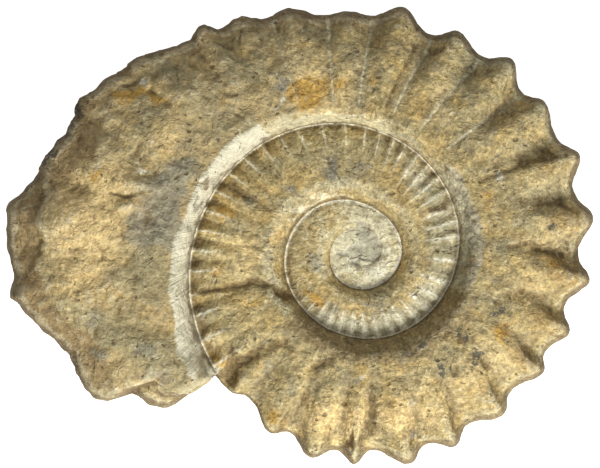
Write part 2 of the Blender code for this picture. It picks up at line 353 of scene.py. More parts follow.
def spreadRows(across, wall):
    wallRows = rows["wall"]
    onWall = wall * across / wallRows
    beyond = wall + (1.0 - wall) * (across - wallRows) / (1.0 - wallRows)
    return np.where(across < wallRows, onWall, beyond)


def placeFlank(back):
    def place(angle, across):
        inner = seamRadius(angle - fullTurn)
        share = spreadRows(across, wallShare(angle))
        radius = inner + share * (edgeLine(angle) - inner)
        turn = np.radians(angle)
        height = flankHeight(angle, share, back)
        return settle(radius * np.cos(turn), radius * np.sin(turn), -height if back else height), share

    return place


def placeVenter(angle, across):
    swing = np.pi * (across - 0.5)
    height = np.where(across > 0.5, edgeTop(angle, True), edgeTop(angle, False))
    rounded = np.clip(np.cos(swing), 0.0, 1.0) ** whorl["venterRound"]
    radius = edgeLine(angle) + bulge(angle) * rounded
    turn = np.radians(angle)
    share = np.ones(len(angle))
    return settle(radius * np.cos(turn), radius * np.sin(turn), -np.sin(swing) * height), share


def layCoilSheet(mesh, layers, angles, rowCount, place, firstRows, side):
    # a flat grid laid along the spiral: columns follow the angles, rows run outwards
    columns = len(angles) - 1
    made = bmesh.ops.create_grid(mesh, x_segments=columns, y_segments=rowCount, size=1.0)
    flat = np.array([vert.co for vert in made["verts"]])
    column = np.rint((flat[:, 0] + 1.0) * 0.5 * columns).astype(int)
    across = np.rint((flat[:, 1] + 1.0) * 0.5 * rowCount) / rowCount
    snapped = np.rint(across * firstRows) / firstRows
    across = np.where(column == 0, snapped, across)
    angle = np.array(angles)[column]
    spots, share = place(angle, across)
    angleLayer, shareLayer, sideLayer = layers
    for vert, spot, ownAngle, ownShare in zip(made["verts"], spots, angle, share):
        vert.co = Vector(spot) * millimetre
        for loop in vert.link_loops:
            loop[angleLayer] = ownAngle
            loop[shareLayer] = ownShare
            loop[sideLayer] = side


def columnAngles():
    ribs = coil["ribs"]
    first = ribs[0][0]
    lead = rows["ribColumns"] // 3
    angles = [coil["freeStart"] + (first - coil["freeStart"]) * step / lead for step in range(lead)]
    for rib, following in zip(ribs, ribs[1:]):
        for step in range(rows["ribColumns"]):
            angles.append(rib[0] + (following[0] - rib[0]) * step / rows["ribColumns"])
    last = ribs[-1][0]
    chamberEnd = coil["end"] - rows["mouth"][0]
    steps = round((chamberEnd - last) / rows["chamberStep"])
    for step in range(steps):
        angles.append(last + (chamberEnd - last) * step / steps)
    angles += [coil["end"] - before for before in rows["mouth"]]
    return angles


def fillInwards(mesh, rim, ringCount, middle, layers, side):
    # draws an open rim in to a point, ring by ring
    heart = Vector((middle[0] * millimetre, middle[1] * millimetre, 0.0))
    edges = rim
    heights = [vert.co.z for edge in edges for vert in edge.verts]
    heart.z = sum(heights) / len(heights)
    for ring in range(ringCount, 0, -1):
        grown = bmesh.ops.extrude_edge_only(mesh, edges=edges)["geom"]
        inner = [item for item in grown if isinstance(item, bmesh.types.BMVert)]
        edges = [item for item in grown if isinstance(item, bmesh.types.BMEdge)]
        edges = [edge for edge in edges if edge.is_boundary]
        share = (ring - 1) / ring
        for vert in inner:
            vert.co = heart + (vert.co - heart) * share
        for item in grown:
            if isinstance(item, bmesh.types.BMFace):
                for loop in item.loops:
                    loop[layers[0]] = coil["start"]
                    loop[layers[1]] = 0.0
                    loop[layers[2]] = side


def buildCoil():
    mesh = bmesh.new()
    layers = [mesh.loops.layers.float.new(name) for name in ("coilAngle", "coilAcross", "coilSide")]
    free = columnAngles()
    for back, turnRows in ((False, rows["front"]), (True, rows["back"])):
        for turnsIn, rowCount in enumerate(turnRows[:-1]):
            angles = [angle - turnsIn * fullTurn for angle in free]
            following = turnRows[turnsIn + 1]
            side = 1.0 if back else 0.0
            layCoilSheet(mesh, layers, angles, rowCount, placeFlank(back), following, side)
    layCoilSheet(mesh, layers, free, rows["venter"], placeVenter, rows["venter"], 0.5)
    bmesh.ops.remove_doubles(mesh, verts=mesh.verts, dist=rows["weld"])
    rims = [edge for edge in mesh.edges if edge.is_boundary]
    middleHeight = whorl["restHeight"] * millimetre
    front = [edge for edge in rims if edge.verts[0].co.z > middleHeight]
    behind = [edge for edge in rims if edge.verts[0].co.z <= middleHeight]
    fillInwards(mesh, front, rows["core"], rows["coreMiddle"], layers, 0.0)
    fillInwards(mesh, behind, rows["backMiddle"], rows["backHeart"], layers, 1.0)
    bmesh.ops.remove_doubles(mesh, verts=mesh.verts, dist=rows["weld"])
    bmesh.ops.dissolve_degenerate(mesh, edges=mesh.edges, dist=rows["weld"])
    bmesh.ops.recalc_face_normals(mesh, faces=mesh.faces)
    print("coil", len(mesh.verts), "points", len(mesh.faces), "faces",
          sum(1 for edge in mesh.edges if not edge.is_manifold), "open edges")
    return mesh


def roughness(points, size, octaves, seed):
    shift = Vector((seed * 7.3, seed * 3.1, seed * 5.7))
    return np.array([noise.fractal(Vector(p) / size + shift, 1.0, 2.0, octaves) for p in points])


def pits(points, size, seed):
    # 1 in the middle of each pit, 0 between them
    shift = Vector((seed * 7.3, seed * 3.1, seed * 5.7))
    near = np.array([noise.voronoi(Vector(p) / size + shift)[0][0] for p in points])
    return 1.0 - easeBetween(0.0, wear["pitReach"], near)


# Wear and breakage, millimetres from the coil's centre and degrees along the spiral
wear = {
    # x, y, length, width, height, turn in degrees
    "lumps": (
        (-131.0, 42.0, 10.0, 3.8, 3.4, -12.0),
        (-136.0, 29.0, 8.0, 3.4, 3.0, 0.0),
        (-152.0, 64.0, 18.0, 9.0, 3.0, 50.0),
        (-178.0, 16.0, 14.0, 10.0, 2.6, 70.0),
        (-162.0, -30.0, 22.0, 10.0, 2.6, -40.0),
        (-118.0, -60.0, 20.0, 10.0, 2.8, -25.0),
        (-98.0, 96.0, 22.0, 10.0, 2.4, 60.0),
        (-153.0, 48.0, 9.0, 8.0, 1.8, 0.0),
        (-126.0, 103.0, 3.5, 3.5, 2.0, 0.0),
        (-172.0, 21.0, 8.0, 6.0, 1.2, 30.0),
    ),
    "pocket": (
        (1, 19), (9, 19.5), (13, 12), (16.5, 6.5), (16.5, -2.5), (13, -5.5), (4, -4), (3, -8), (0.5, -8),
        (-3.5, -2.5), (-5.5, -0.5), (-8.5, -2), (-11, 0), (-10.5, 3.5), (-5.5, 2), (-1, 7), (3.5, 8.5),
        (1, 12),
    ),
    "pocketDepth": 1.3,
    # furrows and cracks: width, depth, then the points that each runs through
    "grooves": (
        (3.0, 3.0, (-93, -23), (-80, -20), (-62, -17), (-50, -19), (-42, -26)),
        (4.0, 1.6, (-76, -68), (-65, -63), (-55, -57), (-42, -53)),
        (1.8, 1.5, (135, -3), (121, 1), (106, 6), (94, 5)),
        (1.8, 1.0, (144, 27), (133, 30), (124, 31), (111, 30)),
        (2.6, 1.6, (135, 64), (121, 61), (105, 56), (90, 50), (77, 45)),
        (1.0, 1.5, (-3, -108), (-3, -119)),
        (1.8, 1.2, (11, -87), (12, -96), (10, -104), (10, -118)),
        (4.0, 2.0, (-75, -59), (-74, -71), (-76, -82)),
        (3.0, 1.5, (-15, -63), (-28, -70)),
        (1.0, 1.0, (-7, -91), (-3, -92), (-2, -96)),
        (1.5, 1.0, (38, 128), (28, 109), (18, 89)),
        (3.0, 1.2, (-74, 43), (-54, 29)),
        (1.2, 0.8, (-54, 68), (-52, 60), (-47, 51)),
        (1.2, 1.4, (-141, 102), (-134, 103)),
        (1.5, 1.2, (-147, 103), (-147, 96)),
        (1.0, 0.8, (-163, 50), (-161, 57), (-154, 59), (-147, 56), (-144, 50), (-147, 43)),
        (1.0, 0.6, (-159, 47), (-156, 53), (-151, 53)),
        (0.8, 0.6, (-178, 14), (-176, 30)),
        (0.8, 0.6, (-177, 13), (-170, 29)),
        (0.8, 0.6, (-176, 12), (-165, 24)),
        (0.8, 0.6, (-174, 11), (-162, 17)),
        (1.2, 1.2, (-146, 37), (-137, 35), (-128, 37)),
    ),
    # worn steps: first and last spiral angle, drop, slope beyond it, and the line that it follows
    "ledges": (
        (1228, 1290, 3.0, 0.25, (-172, 92), (-190, 64), (-191, 50), (-187, 33), (-190, 16), (-187, 6),
         (-193, -7), (-206, -30)),
        (1258, 1296, 1.2, 0.0, (-136, -4), (-150, -14), (-161, -20), (-175, -26), (-190, -26)),
    ),
    # roughness in three sizes of grain, the coarsest first
    "roughSizes": (24.0, 9.0, 3.6),
    "chamberRough": (1.6, 0.7, 0.35),
    "flankRough": (0.9, 0.6, 0.3),
    "innerLeast": 0.5,
    "opened": (0.1, 0.3),
    "billow": 1.3,
    "billowSize": 19.0,
    "billowMiddle": 0.25,
    # what is left of the billows on the flank, at the wall and on the inner turns
    "billowLeast": (0.3, 0.3, 0.4),
    "terraceHeight": 1.3,
    "terraceSize": 34.0,
    "terraceSteps": 3.0,
    "terraceStep": (0.3, 0.7),
    "terraceLeast": 0.25,
    "pitDepth": 0.8,
    "pitSize": 7.0,
    "pitReach": 0.55,
    "pitted": ((0.12, 0.3), (0.6, 0.85)),
    # how far the grooves and steps wander, and over what length
    "wander": 1.5,
    "wanderSize": 12.0,
    "ledgeStarts": 12.0,
    "ledgeEnds": 8.0,
    "ledgeEdge": (-1.2, 1.6),
    "ledgeRecovers": (4.0, 16.0),
    "upperSide": (-4.0, 16.0),
    "pocketEdge": (-0.7, 1.3),
    "pocketRagged": (0.8, 4.0),
    "pocketFloor": (0.8, 5.0),
}


def toLine(x, y, points):
    # distance in plan to a line through the points, then the same, negative on its left
    nearest = np.full(len(x), np.inf)
    signed = np.zeros(len(x))
    for (ax, ay), (bx, by) in zip(points, points[1:]):
        along = ((x - ax) * (bx - ax) + (y - ay) * (by - ay)) / ((bx - ax) ** 2 + (by - ay) ** 2)
        along = np.clip(along, 0.0, 1.0)
        away = np.hypot(x - ax - along * (bx - ax), y - ay - along * (by - ay))
        right = (x - ax) * (by - ay) - (y - ay) * (bx - ax)
        signed = np.where(away < nearest, np.sign(right) * away, signed)
        nearest = np.minimum(nearest, away)
    return nearest, signed


def insideOutline(x, y, outline):
    # distance to a closed outline, negative outside it
    closed = outline + outline[:1]
    inside = np.zeros(len(x), dtype=bool)
    for (ax, ay), (bx, by) in zip(closed, closed[1:]):
        if ay != by:
            inside ^= ((ay > y) != (by > y)) & (x < ax + (y - ay) * (bx - ax) / (by - ay))
    nearest, _ = toLine(x, y, closed)
    return np.where(inside, nearest, -nearest)


def blob(x, y, placeX, placeY, length, width, turn):
    swing = math.radians(-turn)
    along = (x - placeX) * math.cos(swing) - (y - placeY) * math.sin(swing)
    aside = (x - placeX) * math.sin(swing) + (y - placeY) * math.cos(swing)
    return np.exp(-((along / length) ** 2) - (aside / width) ** 2)


def readCorners(data, name):
    values = np.empty(len(data.loops), dtype=np.float32)
    data.attributes[name].data.foreach_get("value", values)
    return values.astype(float)


def readPoints(data):
    spots = np.empty(len(data.vertices) * 3, dtype=np.float32)
    data.vertices.foreach_get("co", spots)
    return spots.reshape(-1, 3).astype(float) / millimetre


def readNormals(data):
    normals = np.empty(len(data.vertices) * 3, dtype=np.float32)
    data.vertex_normals.foreach_get("vector", normals)
    return normals.reshape(-1, 3).astype(float)


def cornerPoints(data):
    owners = np.empty(len(data.loops), dtype=np.int32)
    data.loops.foreach_get("vertex_index", owners)
    return owners


def carve(data):
    # raises and sinks the skin along its normals: lumps, roughness, pits and breaks
    spots = readPoints(data)
    normals = readNormals(data)
    owners = cornerPoints(data)
    angle = np.full(len(spots), -np.inf)
    share = np.zeros(len(spots))
    side = np.zeros(len(spots))
    cornerAngle = readCorners(data, "coilAngle")
    np.maximum.at(angle, owners, cornerAngle)
    newest = cornerAngle >= angle[owners] - 0.001
    share[owners[newest]] = readCorners(data, "coilAcross")[newest]
    side[owners[newest]] = readCorners(data, "coilSide")[newest]
    x, y, z = spots.T
    chamber = easeBetween(*chamberSpan, angle)
    flank = 1.0 - chamber
    free = freeShare(angle)
    level = np.clip(1.0 - side * 2.0, 0.0, 1.0)
    opened = easeBetween(*wear["opened"], share)
    coarse, middle, fine = [roughness(spots, size, 2, seed)
                            for seed, size in enumerate(wear["roughSizes"], 1)]
    coarseChamber, middleChamber, fineChamber = wear["chamberRough"]
    coarseFlank, middleFlank, fineFlank = wear["flankRough"]
    shape = coarse * (coarseChamber * chamber * opened + coarseFlank * free * flank)
    shape += middle * (middleChamber * chamber + middleFlank * flank * atLeast(wear["innerLeast"], free))
    shape += fine * (fineChamber * chamber + fineFlank * flank)
    for placeX, placeY, length, width, height, turn in wear["lumps"]:
        shape += height * blob(x, y, placeX, placeY, length, width, turn) * chamber * opened * level
    billows = np.abs(roughness(spots, wear["billowSize"], 2, 8)) - wear["billowMiddle"]
    for low, where in zip(wear["billowLeast"], (chamber, opened, free)):
        billows = billows * atLeast(low, where)
    shape += wear["billow"] * billows
    rise = wear["terraceSteps"] * roughness(spots, wear["terraceSize"], 3, 9)
    step = rise - np.floor(rise)
    stepped = easeBetween(*wear["terraceStep"], step) - step
    shape += wear["terraceHeight"] * stepped * opened * atLeast(wear["terraceLeast"], chamber)
    pitted = within(share, *wear["pitted"]) * free * flank * level
    shape -= wear["pitDepth"] * pits(spots, wear["pitSize"], 4) * pitted
    wander = wear["wander"] * roughness(spots, wear["wanderSize"], 2, 7)
    for width, depth, *points in wear["grooves"]:
        nearest, _ = toLine(x + wander, y + wander, points)
        shape -= depth * np.exp(-((nearest / width) ** 2)) * level
    spots = spots + normals * shape[:, None]
    low, high = wear["upperSide"]
    upper = easeBetween(whorl["restHeight"] + low, whorl["restHeight"] + high, z)
    for first, last, drop, slope, *points in wear["ledges"]:
        _, beyond = toLine(x + 2.0 * wander, y - 2.0 * wander, points)
        inRange = within(angle, (first, first + wear["ledgeStarts"]), (last - wear["ledgeEnds"], last))
        lowered = drop * easeBetween(*wear["ledgeEdge"], beyond)
        if slope == 0.0:
            lowered = lowered * (1.0 - easeBetween(*wear["ledgeRecovers"], beyond))
        spots[:, 2] -= (lowered + slope * np.maximum(beyond, 0.0)) * inRange * upper
    reach, size = wear["pocketRagged"]
    ragged = insideOutline(x, y, wear["pocket"]) + reach * roughness(spots, size, 2, 5)
    sunk = easeBetween(*wear["pocketEdge"], ragged) * (level > 0.9) * (z > whorl["restHeight"])
    reach, size = wear["pocketFloor"]
    spots[:, 2] -= sunk * (wear["pocketDepth"] + reach * roughness(spots, size, 2, 6))
    print("carved", len(spots), "points")
    return spots


def smoothedOver(data, values, rounds):
    # spreads values over neighbouring points
    ends = np.empty(len(data.edges) * 2, dtype=np.int32)
    data.edges.foreach_get("vertices", ends)
    first, second = ends.reshape(-1, 2).T
    counts = np.bincount(first, minlength=len(values)) + np.bincount(second, minlength=len(values))
    counts = np.maximum(counts, 1).astype(float)
    for _ in range(rounds):
        total = np.zeros_like(values)
        for column in range(values.shape[1]):
            total[:, column] = np.bincount(first, values[second, column], len(values))
            total[:, column] += np.bincount(second, values[first, column], len(values))
        values = 0.5 * values + 0.5 * total / counts[:, None]
    return values


def hollowness(data, spots, rounds, depth):
    # -1 in furrows and cracks, 1 on crests, 0 on even ground
    away = spots - smoothedOver(data, spots, rounds)
    raised = np.sum(away * readNormals(data), axis=1)
    return np.clip(raised / depth, -1.0, 1.0)


def writeCorners(data, name, values):
    layer = data.attributes.new(name, "FLOAT", "CORNER")
    layer.data.foreach_set("value", values.astype(np.float32))


def fitInBox(spots):
    # the skin stays inside the solid's own box
    low, high = (np.array(corner) / millimetre for corner in cadBox)
    place = np.array([coil["centre"][0], coil["centre"][1], 0.0])
    margin = 0.05
    low = low + margin * np.array([1.0, 1.0, 0.0])
    return np.clip(spots + place, low, high - margin)


# Stains, clean patches and painted shadow along the chamber's left edge, in plan: x, y from the coil centre,
# length, width, turn, strength
stainsAndEdgeShadow = {
    "ochre": (
        (-48, 12, 4, 11, 0, 0.9), (-84, -10, 8, 5, 0, 0.6), (-62, -29, 12, 5, 0, 0.6),
        (-20, -100, 14, 8, -60, 0.4), (22, -92, 4, 14, 0, 0.5), (104, -20, 12, 8, 0, 0.4),
        (-31, 94, 10, 8, 20, 1.7), (-14, 102, 13.5, 6, 5, 0.9), (11, 107, 7.5, 7.5, 0, 0.5),
        (-33, 124, 10, 6, 0, 0.45), (-70, 113, 6, 3.5, 0, 0.5), (-59, 101, 3, 2.5, 0, 0.6),
        (-138, 97, 9, 4, 10, 1.6), (-121, 95, 6, 3, -10, 1.3), (-154, 48, 8, 5.5, 0, 0.8),
        (-85, -63, 6, 3, -45, 1.3), (-79, -68, 5, 2.5, -60, 0.8), (-48, -100, 10, 6, 0, 0.8),
        (90, -47, 5, 5.5, 0, 1.2), (-22, -28, 5, 6, 30, 0.9), (-30, -23, 5.5, 3, 0, 0.7),
        (-79, 26, 8.5, 4.5, -20, 0.8), (-54, 30, 5, 6, 0, 0.5), (80, 33, 7, 5, -30, 0.7),
        (124, -5, 15, 4.5, -18, 0.8), (130, 26, 11, 3, -15, 0.6), (117, 39, 10, 5, 30, 0.4),
        (43, -91, 2.5, 13.5, 5, 0.6), (46, -65, 3.5, 5.5, 0, 0.5), (62, -105, 5.5, 5.5, 0, 0.5),
        (7, -74, 5, 3.5, 0, 0.6), (-2, -81, 3.5, 5, 0, 0.5), (-181, -22, 13.5, 6, 45, 0.5),
        (-199, 46, 8.5, 6, 60, 0.5), (-162, -10, 8.5, 5, 20, 0.4), (-92, -47, 3, 7.5, 0, 0.3),
        (71, 107, 8.5, 5, -30, 0.3), (62, 92, 10, 5, -30, 0.5), (-41, 64, 3.5, 7.5, -20, 0.4),
        (-33, -1, 5, 3.5, 0, 0.3),
    ),
    "grey": (
        (-49, 98, 4.5, 6, 0, 0.6), (-119, 24, 15, 18.5, 20, 1.1), (-125, 12, 16, 8.5, 0, 0.8),
        (-104, 55, 8.5, 13.5, -35, 0.8), (-110, 39, 10, 10, 0, 0.7), (-132, 79, 7.5, 4.5, 20, 0.6),
        (-155, -60, 5.5, 4.5, 0, 1.0), (-157, -39, 10, 3.5, 20, 0.7), (-125, -59, 10, 6, 0, 0.8),
        (-119, -74, 14, 6, 0, 0.8), (-15, 65, 3, 5, 0, 0.3), (-39, 38, 5, 5.5, 0, 0.9),
        (-87, 42, 3, 6, -30, 0.8), (-95, 30, 3.5, 3.5, 0, 0.8), (-98, 14, 3, 5, 0, 0.5),
        (-95, -36, 5, 4.5, 0, 0.8), (-63, 33, 5, 3.5, 0, 0.6), (70, 9, 3.5, 16, 5, 0.9),
        (72, 21, 3, 3.5, 0, 1.0), (93, 10, 8.5, 5, 0, 0.4), (8, -31, 13.5, 3.5, 0, 0.7),
        (-15, -33, 5, 5, 0, 0.7), (47, 39, 6, 5, 0, 0.7), (53, 16, 3.5, 3.5, 0, 0.7),
        (44, 6, 3.5, 3.5, 0, 0.5), (-53, -70, 13.5, 5, 35, 0.7), (-42, -84, 10, 4.5, 40, 0.6),
        (34, -74, 3.5, 10, 0, 0.5), (56, -73, 3, 8.5, 10, 0.5), (77, -28, 10, 5, 0, 0.4),
        (53, 79, 6, 7.5, 30, 0.5), (-172, 2, 8.5, 12.5, 0, 0.3), (7, 10, 6, 7.5, 0, 0.6),
        (77, -87, 10, 6, -40, 0.5), (118, 16, 4.5, 5, 0, 0.5),
    ),
    "ink": (
        (65, -50, 7, 4, 30, 1.5), (74, -63, 6, 6, 0, 1.5), (51, -70, 4, 8, 20, 1.3),
        (36, -58, 9, 3.5, 12, 1.3), (85, -37, 9, 3.5, 40, 1.2), (17, -68, 8, 3, 0, 0.9),
        # these three are painted shadow along the chamber's steep left edge
        (-175, 78, 14, 4, 57, 1.5), (-187, 61, 12, 4, 57, 1.4), (-200, 41, 10, 4, 45, 1.2),
        (120, 16, 3, 3, 0, 0.9), (-66, 46, 5, 2.5, -20, 0.8),
    ),
    "slate": (
        (-15, 52, 4, 9, 0, 1.2), (4, 52, 6, 8, 0, 0.7), (-45, 103, 5, 6, 0, 1.0), (-24, -7, 6, 7, 0, 0.8),
        (-112, 33, 9, 12, 0, 0.4), (70, 20, 4, 5, 0, 0.7), (46, 39, 6, 4, 0, 0.5), (-40, 38, 5, 5, 0, 0.7),
    ),
    "dark": (
        # the first patch is painted shadow on the steep left edge of the chamber
        (-169, 89, 6, 7, 0, 2.4), (-138, 102, 3.5, 1, -10, 0.9), (-147, 99, 1, 3, 0, 0.7),
        (-192, 29, 2.5, 3, 0, 0.8), (-196, 36, 2, 2.5, 0, 0.7), (12, 127, 2.5, 2, 0, 0.9),
        (7, 114, 2.5, 2, 0, 0.6), (-22, 113, 1, 3, 20, 1.0), (-16, 55, 2, 5, 0, 0.8),
        (-12, 46, 1, 3, 0, 0.9), (66, -52, 3, 3, 30, 1.0), (72, -52, 2, 2, 0, 0.9),
        (79, -66, 3, 2.5, 0, 1.0), (83, -59, 2, 2.5, 20, 0.9), (55, -52, 3.5, 2.5, 10, 0.9),
        (38, -58, 5, 2, 10, 0.8), (58, -70, 2.5, 2.5, 0, 0.9), (62, -77, 2, 3.5, 20, 0.7),
        (66, -78, 1, 1, 0, 0.8), (87, -29, 6, 2, 0, 0.7), (91, -37, 3.5, 3, 0, 0.7),
        (110, -42, 2, 2, 0, 0.8), (95, 36, 3, 1, 30, 1.1), (120, 16, 2.5, 2.5, 0, 0.8),
        (115, 7, 2, 1, 0, 0.8), (72, 20, 2.5, 2.5, 0, 0.8), (87, 53, 5.5, 2.5, 10, 0.6),
        (96, -28, 3, 2, 0, 0.5), (45, -5, 5.5, 4.5, 0, 0.5), (52, 28, 8, 4, 0, 1.2),
        (-92, 42, 2.5, 5.5, -55, 0.8), (-87, 30, 2.5, 3.5, -60, 0.7), (-97, 20, 2, 3, -60, 0.5),
        (-93, 4, 5, 2, 10, 0.6), (-74, -70, 2.5, 8.5, -10, 0.9), (-75, 33, 10, 3, -30, 0.5),
        (-70, 41, 8.5, 2.5, -20, 0.5), (-3, -113, 1, 3.5, 0, 1.2), (-33, -47, 8.5, 3, -40, 0.5),
        (-62, -70, 16, 3.5, 40, 0.4), (-15, -34, 5.5, 3.5, 0, 0.5), (10, -99, 3, 11, 3, 0.5),
        (17, -74, 2.5, 5, 0, 0.5), (31, -82, 2, 8.5, 0, 0.5), (81, 14, 6, 3, -5, 0.5),
        (71, -5, 8.5, 7.5, 30, 0.6), (59, -28, 12.5, 5, 45, 0.5), (-39, 38, 3.5, 3.5, 0, 0.5),
        (93, 101, 10, 2, 28, 0.6), (108, 92, 6, 2.5, 30, 0.6), (127, 64, 12.5, 2.5, 25, 0.4),
        (102, 55, 16, 3, 20, 0.4), (130, 1, 6, 1.5, -25, 0.8), (117, 6, 11, 1.5, -15, 0.5),
        (142, 30, 5, 2, -20, 0.4), (127, 31, 7.5, 2, -10, 0.4), (77, 84, 6, 2, 28, 0.5),
        (-61, 138, 8.5, 3, 10, 0.5), (-33, 145, 13.5, 3, 0, 0.5), (-6, 145, 11, 2.5, 0, 0.4),
    ),
    "shade": (
        (-16, 62, 26, 12, 0, 0.9), (22, 66, 22, 10, -20, 0.9), (50, 40, 14, 12, 0, 0.6),
        (52, 8, 9, 26, 0, 1.1), (72, -98, 20, 14, 0, 0.4), (-36, 4, 8, 16, 0, 0.5),
        (-128, -15, 26, 14, -20, 0.7), (-48, 52, 14, 12, 30, 0.4), (20, -44, 30, 6, 10, 0.4),
        (-118, -60, 30, 16, -40, 0.9), (-150, -46, 24, 12, -30, 0.6), (-120, 0, 18, 20, 0, 0.4),
        (-52, -68, 20, 10, 40, 0.5), (66, 108, 24, 14, -30, 0.5), (96, 84, 20, 14, -40, 0.5),
        (-165, 60, 12, 8, 60, 0.3),
    ),
    "warm": (
        (-156, 28, 26, 30, 20, 1.5), (-166, -12, 16, 16, 0, 1.0), (-198, 10, 10, 22, 0, 0.6),
        (-22, 100, 24, 14, 0, 0.8), (-110, 70, 20, 14, 30, 0.4), (20, -98, 40, 14, 0, 0.7),
        (76, -70, 30, 16, 35, 0.6), (104, -20, 22, 14, 0, 0.5), (-62, -2, 14, 16, 0, 0.5),
        (-20, -100, 30, 14, -20, 0.5),
    ),
    "white": (
        (-126, 103, 3, 3, 0, 1.6), (-45, 91, 1.5, 3, 10, 1.2), (-47, 107, 1, 3.5, 10, 0.7),
        (-73, 104, 3, 2, -40, 0.6), (-129, 50, 4.5, 3, 0, 0.9), (-154, 55, 5.5, 3.5, 0, 0.4),
        (-35, 26, 8, 4, 50, 0.6), (-22, 34, 8, 4, 30, 0.6), (-6, 35, 10, 4, 0, 0.6),
        (7, -10, 18, 10, 0, 0.5), (17, 2, 6, 14, 0, 0.5), (-87, -72, 4.5, 3.5, 0, 1.1),
        (86, 48, 3, 2.5, 0, 1.1), (110, 54, 2, 1, 0, 0.8), (62, -84, 3, 2.5, 0, 0.8),
        (36, -109, 3.5, 4.5, 0, 0.8), (36, -90, 3, 4.5, 0, 0.5), (5, -74, 2.5, 2, 0, 0.8),
        (59, 26, 2, 2.5, 0, 0.8), (-172, 22, 6, 5.5, 0, 0.5), (-122, 68, 2, 4.5, 0, 0.5),
        (24, -76, 2.5, 2, 0, 0.4), (-50, 139, 0.5, 7.5, 0, 1.0), (-21, 127, 0.5, 17, 0, 0.7),
        (97, 54, 5, 1, 30, 0.4),
    ),
}

# Where the paint starts and ends: degrees, shares of the turn's width, millimetres
paint = {
    "wobbleSize": 14.0,
    "jagged": 4.0,
    "bandEnd": (127.0, 129.0),
    "bandStart": (214.0, 221.0),
    "topStart": (40.0, 70.0),
    "rightWall": ((335.0, 350.0), (30.0, 60.0)),
    "bottomWall": ((221.0, 228.0), (335.0, 350.0)),
    "rightOfSecond": ((228.0, 245.0), (50.0, 90.0)),
    # how far the paint reaches, in widths of the wall, and how unevenly it ends
    "onWall": ((0.85, 1.25), 0.25),
    "belowWall": ((1.0, 1.9), 0.25),
    "topPale": ((0.45, 0.85), 0.35),
    "rightPale": ((0.3, 0.7), 0.3),
    "rightPaleMost": 0.9,
    "chiselLean": 2.0,
    "ribbed": (0.1, 0.3),
    "disc": (200.0, 240.0),
    # how white the inner rings, the disc, the second turn and its lower side are
    "ringCream": 0.7,
    "discCream": 0.6,
    "secondCream": 0.57,
    "bottomCream": 0.17,
    "innerLeast": 0.5,
    "innerFade": (440.0, 500.0),
    "outerHalf": ((0.3, 0.75), 0.12),
    # where the inner ribs' lines begin, how much earlier on the right, and where they are full
    "innerLines": (0.62, 0.3, 0.25),
    "rim": 1.3,
    "rimExtra": 1.2,
    "rimWide": ((250.0, 300.0), (520.0, 560.0)),
    # the brown painted shade on the slope at the chamber's edge, which faces away from the light: spiral
    # angles, distance in from the edge, unevenness
    "slopes": (
        (((1130.0, 1160.0), (1238.0, 1250.0)), (6.0, 14.0), 3.0),
        (((1225.0, 1240.0), (1284.0, 1292.0)), (18.0, 28.0), 5.0),
    ),
    "slopeDepth": 10.0,
    "tips": (0.55, 0.85),
    "tipSharpness": 2.0,
    "rightTips": ((290.0, 330.0), (20.0, 50.0)),
    "sway": 5.0,
    "swaySize": 9.0,
    "lineSway": 0.3,
    "grooveWidth": 1.1,
    "grooveShade": 0.5,
    "grooveMost": 1.5,
    "ledgeWidth": 1.6,
    "ledgeShade": 0.25,
    "pocketEdge": (-0.6, 0.6),
    # height above the ground where stains and the painted edge shadow fade out
    "foot": 16.0,
    "feet": {"dark": 8.0, "ink": 8.0},
    "footFade": 14.0,
    # steep sides of the outer turn are painted in shade: how steep they must be, and from what share of the
    # width
    "steep": (0.3, 0.85),
    "steepShadeShare": 0.8,
    "valleys": ((38.0, 44.0), (108.0, 114.0)),
    "valleyShares": (0.12, 0.25),
    # rounds of smoothing and depth of the small and the broad hollows
    "hollow": (6, 0.7),
    "broadHollow": (60, 3.0),
}


